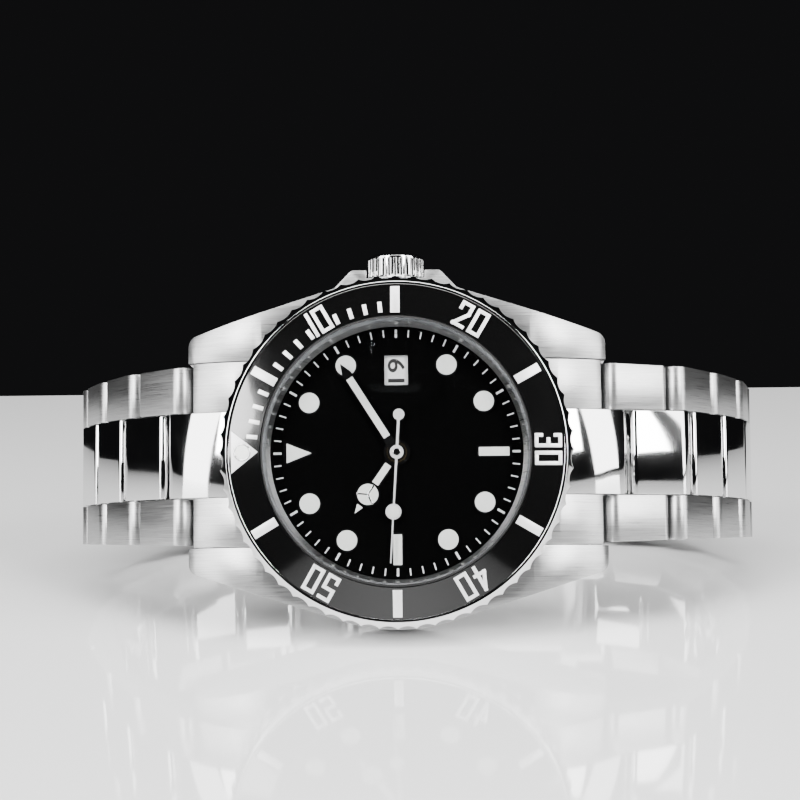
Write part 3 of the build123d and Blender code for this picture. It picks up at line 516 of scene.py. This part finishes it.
def stroked_figure(character, across):
    """A squared figure made of straight strokes, centred on a place across the number."""
    strokes = []
    for run in STROKES[character]:
        for (x0, y0), (x1, y1) in zip(run, run[1:]):
            start = Vector((across + x0 * FIGURE_HALF_WIDTH, y0 * FIGURE_HALF_HEIGHT, 0.0))
            reach = Vector((across + x1 * FIGURE_HALF_WIDTH, y1 * FIGURE_HALF_HEIGHT, 0.0)) - start
            ease = FIGURE_STROKE / 2
            stroke = bar(FIGURE_STROKE, -ease, reach.length + ease, -0.05, 0.025 + 0.001 * len(strokes), 0.01)
            stroke = turned_to(stroke, math.atan2(reach.x, reach.y))
            stroke.data.transform(Matrix.Translation(start))
            strokes.append(stroke)
    return strokes


def laid_on_insert(piece, minute):
    """Tilts a marking modelled on the level of the insert's inner edge down the insert's slope."""
    hinge = Matrix.Translation((0.0, INSERT_IN, INSERT_IN_TOP))
    tilt = Matrix.Rotation(-math.atan(INSERT_SLOPE), 4, "X")
    piece.data.transform(piece.matrix_world)
    piece.matrix_world = Matrix.Identity(4)
    piece.data.transform(hinge @ tilt @ Matrix.Translation((0.0, -INSERT_IN, 0.0)))
    return turned_to(piece, math.radians(6.0 * minute))


def bezel_scale():
    """Bars, minute strokes and figures filled with bright metal."""
    marks = []
    for minute in (5, 15, 25, 35, 45, 55):
        marks.append(laid_on_insert(bar(1.07, 16.1, 19.3, -0.05, 0.025, 0.01), minute))
    for minute in (1, 2, 3, 4, 6, 7, 8, 9, 11, 12, 13, 14):
        marks.append(laid_on_insert(bar(0.48, 16.2, 17.5, -0.05, 0.025, 0.01), minute))
    for minute in (10, 20, 30, 40, 50):
        tens = stroked_figure(str(minute // 10), -1.03)
        label = joined(tens + stroked_figure("0", 1.03 if minute > 10 else 0.35))
        label.data.transform(Matrix.Translation((0.0, FIGURES_AT, 0.0)))
        marks.append(laid_on_insert(label, minute))
    finished(joined(marks), "bezel_scale", SILVER, "bezel")


def bezel_triangle():
    triangle = laid_on_insert(wedge(4.95, 19.25, 16.05, -0.05, 0.025, 0.01), 0)
    finished(triangle, "bezel_triangle", SILVER, "bezel")
    fresh()
    bpy.ops.mesh.primitive_torus_add(major_radius=0.92, minor_radius=0.14, major_segments=48,
                                     minor_segments=12, location=(0.0, PIP_AT, 0.03))
    cup = laid_on_insert(bpy.context.active_object, 0)
    finished(cup, "pip_cup", POLISHED, "bezel")
    pip = laid_on_insert(pad(0.84, PIP_AT, -0.05, 0.12, 0.1), 0)
    finished(pip, "pip_lume", LUME, "bezel")


# ---------------------------------------------------------------- finished metal over the CAD shapes
def case_steel():
    """Brushed tops on the lugs, polished flanks and back."""
    finish = Finish("case_steel", Metallic=1.0)
    normal = finish.start.made("ShaderNodeTexCoord", output=1)
    facing = finish.start.made("ShaderNodeVectorMath", {"operation": "DOT_PRODUCT"}, output=1,
                               i0=normal, i1=tuple(DIAL_WAY))
    top = finish.scaled(facing, 0.0, 1.0, 0.55, 0.65)
    lines = finish.brushing(0.2)
    brushed = finish.mix(finish.scaled(lines, 0.0, 1.0, 0.3, 0.7), grey(0.26), grey(0.5))
    finish.feed("Base Color", finish.mix(top, grey(0.66), brushed))
    cloud = finish.scaled(finish.noise(finish.place, 160.0, 3.0), 0.05, 0.1, 0.35, 0.7)
    satin = finish.scaled(lines, 0.24, 0.4, 0.25, 0.75)
    finish.feed("Roughness", cloud + top * (satin - cloud))
    finish.bump(lines * top, 0.35)
    return finish.material


def metal_copy(node, material, body, width, segments=2):
    """An eased copy of a metal node that stands for it."""
    piece = eased_copy(node, width, segments)
    piece.data.materials.clear()
    piece.data.materials.append(material)
    fresh()
    piece.select_set(True)
    bpy.context.view_layer.objects.active = piece
    bpy.ops.object.shade_smooth_by_angle(angle=math.radians(32.0))
    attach(piece, body)
    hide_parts(node)


def body_of(node):
    for body, nodes in frame["record"]["behaviour"]["bodies"].items():
        if node in nodes:
            return body
    return "case"


def finish_metal():
    case = case_steel()
    metal_copy("case_middle", case, "case", 0.12)
    metal_copy("end_link_12", LINKS, "case", 0.1)
    metal_copy("end_link_6", LINKS, "case", 0.1)
    metal_copy("bezel_ring", POLISHED, "bezel", 0.06)
    metal_copy("crown", POLISHED, body_of("crown"), 0.05)
    for side in ("12", "6"):
        for place in range(1, 9):
            node = f"link_{side}_{place}"
            metal_copy(node, LINKS, body_of(node), 0.12)
    metal_copy("clasp_shell", BRUSHED, body_of("clasp_shell"), 0.1)
    metal_copy("safety_lock", BRUSHED, body_of("safety_lock"), 0.08)
    metal_copy("clasp_middle_blade", BRUSHED, body_of("clasp_middle_blade"), 0.06)
    metal_copy("clasp_inner_blade", BRUSHED, body_of("clasp_inner_blade"), 0.06)


def dress_nodes():
    """The finish of each CAD shape that stays as it is."""
    by_node = {
        "crystal": SAPPHIRE, "date_magnifier": SAPPHIRE, "dial": DIAL_BLACK, "bezel_insert": CERAMIC,
        "date_disc": WHITE_INK, "hour_markers": POLISHED, "hour_hand": POLISHED, "minute_hand": POLISHED,
        "seconds_hand": SILVER, "rehaut_ring": BRUSHED, "case_back": BRUSHED, "case_back_gasket": RUBBER,
        "crystal_gasket": RUBBER, "crown_gasket": RUBBER, "balance_wheel": BRASS, "hour_wheel": BRASS,
        "centre_wheel": BRASS, "third_wheel": BRASS, "fourth_wheel": BRASS, "escape_wheel": BRASS,
        "mainspring_barrel": BRASS, "main_plate": BRUSHED, "train_bridge": BRUSHED, "balance_cock": BRUSHED,
        "rotor": BRUSHED}
    for name, node in NODES.items():
        node.data.materials.clear()
        node.data.materials.append(by_node.get(name, POLISHED))


# ---------------------------------------------------------------- floor, lights and camera
TABLE_WIDTH, TABLE_DEPTH, TABLE_END = 3.0, 1.8, 0.17      # metres, and how far it runs behind the watch


def stage():
    """A glossy white table top that ends a little behind the watch, before a dark room."""
    finish = floor_gloss()
    fresh()
    bpy.ops.mesh.primitive_plane_add(size=1.0, location=(0.0, 0.0, 0.0))
    table = bpy.context.active_object
    table.name = "table_top"
    table.data.transform(Matrix.Translation((0.0, TABLE_END - TABLE_DEPTH / 2, 0.0))
                         @ Matrix.Diagonal((TABLE_WIDTH, TABLE_DEPTH, 1.0, 1.0)))
    table.data.materials.append(finish)


def softbox(name, place, aim, width, height, power):
    lamp = bpy.data.lights.new(name, "AREA")
    lamp.shape = "RECTANGLE"
    lamp.size, lamp.size_y = width, height
    lamp.energy = power
    holder = bpy.data.objects.new(name, lamp)
    bpy.context.scene.collection.objects.link(holder)
    holder.location = place
    holder.rotation_euler = (Vector(aim) - Vector(place)).to_track_quat("-Z", "Y").to_euler()


def camera():
    """Looks at the dial from the front, a little to the left and above."""
    azimuth, elevation, roll = math.radians(-1.2), math.radians(8.7), math.radians(-0.82)
    distance = 0.26
    way = Vector((math.sin(azimuth) * math.cos(elevation), math.cos(azimuth) * math.cos(elevation),
                  -math.sin(elevation)))
    above_the_dials_centre = Vector((0.00045, 0.0, 0.00622))
    target = WATCH_MM @ Vector((0.0, 0.0, DIAL_TOP)) + above_the_dials_centre
    lens = bpy.data.cameras.new("camera")
    lens.lens, lens.sensor_width = 100.06, 36.0
    lens.clip_start, lens.clip_end = 0.01, 20.0
    holder = bpy.data.objects.new("camera", lens)
    bpy.context.scene.collection.objects.link(holder)
    holder.location = target - way * distance
    level = way.to_track_quat("-Z", "Y").to_matrix()
    holder.rotation_euler = (level @ Matrix.Rotation(roll, 3, "Z")).to_euler()
    bpy.context.scene.camera = holder


def room():
    world = bpy.data.worlds.new("room")
    world.use_nodes = True
    world.node_tree.nodes["Background"].inputs["Color"].default_value = (0.007, 0.007, 0.0075, 1.0)
    world.node_tree.nodes["Background"].inputs["Strength"].default_value = 1.0
    bpy.context.scene.world = world


dress_nodes()
minute_track()
marker_lume()
hour_hand_lume()
minute_hand_lume()
seconds_hand_trim()
date_figures()
bezel_scale()
bezel_triangle()
finish_metal()
stage()
room()
softbox("overhead", (0.0, -0.22, 0.65), (0.0, -0.02, 0.02), 0.7, 0.45, 9.0)
softbox("left", (-0.6, -0.35, 0.25), (0.0, -0.02, 0.03), 0.3, 0.6, 5.0)
softbox("right", (0.6, -0.3, 0.3), (0.0, -0.02, 0.03), 0.3, 0.6, 5.0)
softbox("front_left", (-0.36, -0.5, 0.32), (0.0, -0.02, 0.03), 0.2, 0.3, 4.5)
softbox("front_right", (0.36, -0.5, 0.32), (0.0, -0.02, 0.03), 0.2, 0.3, 4.5)
camera()
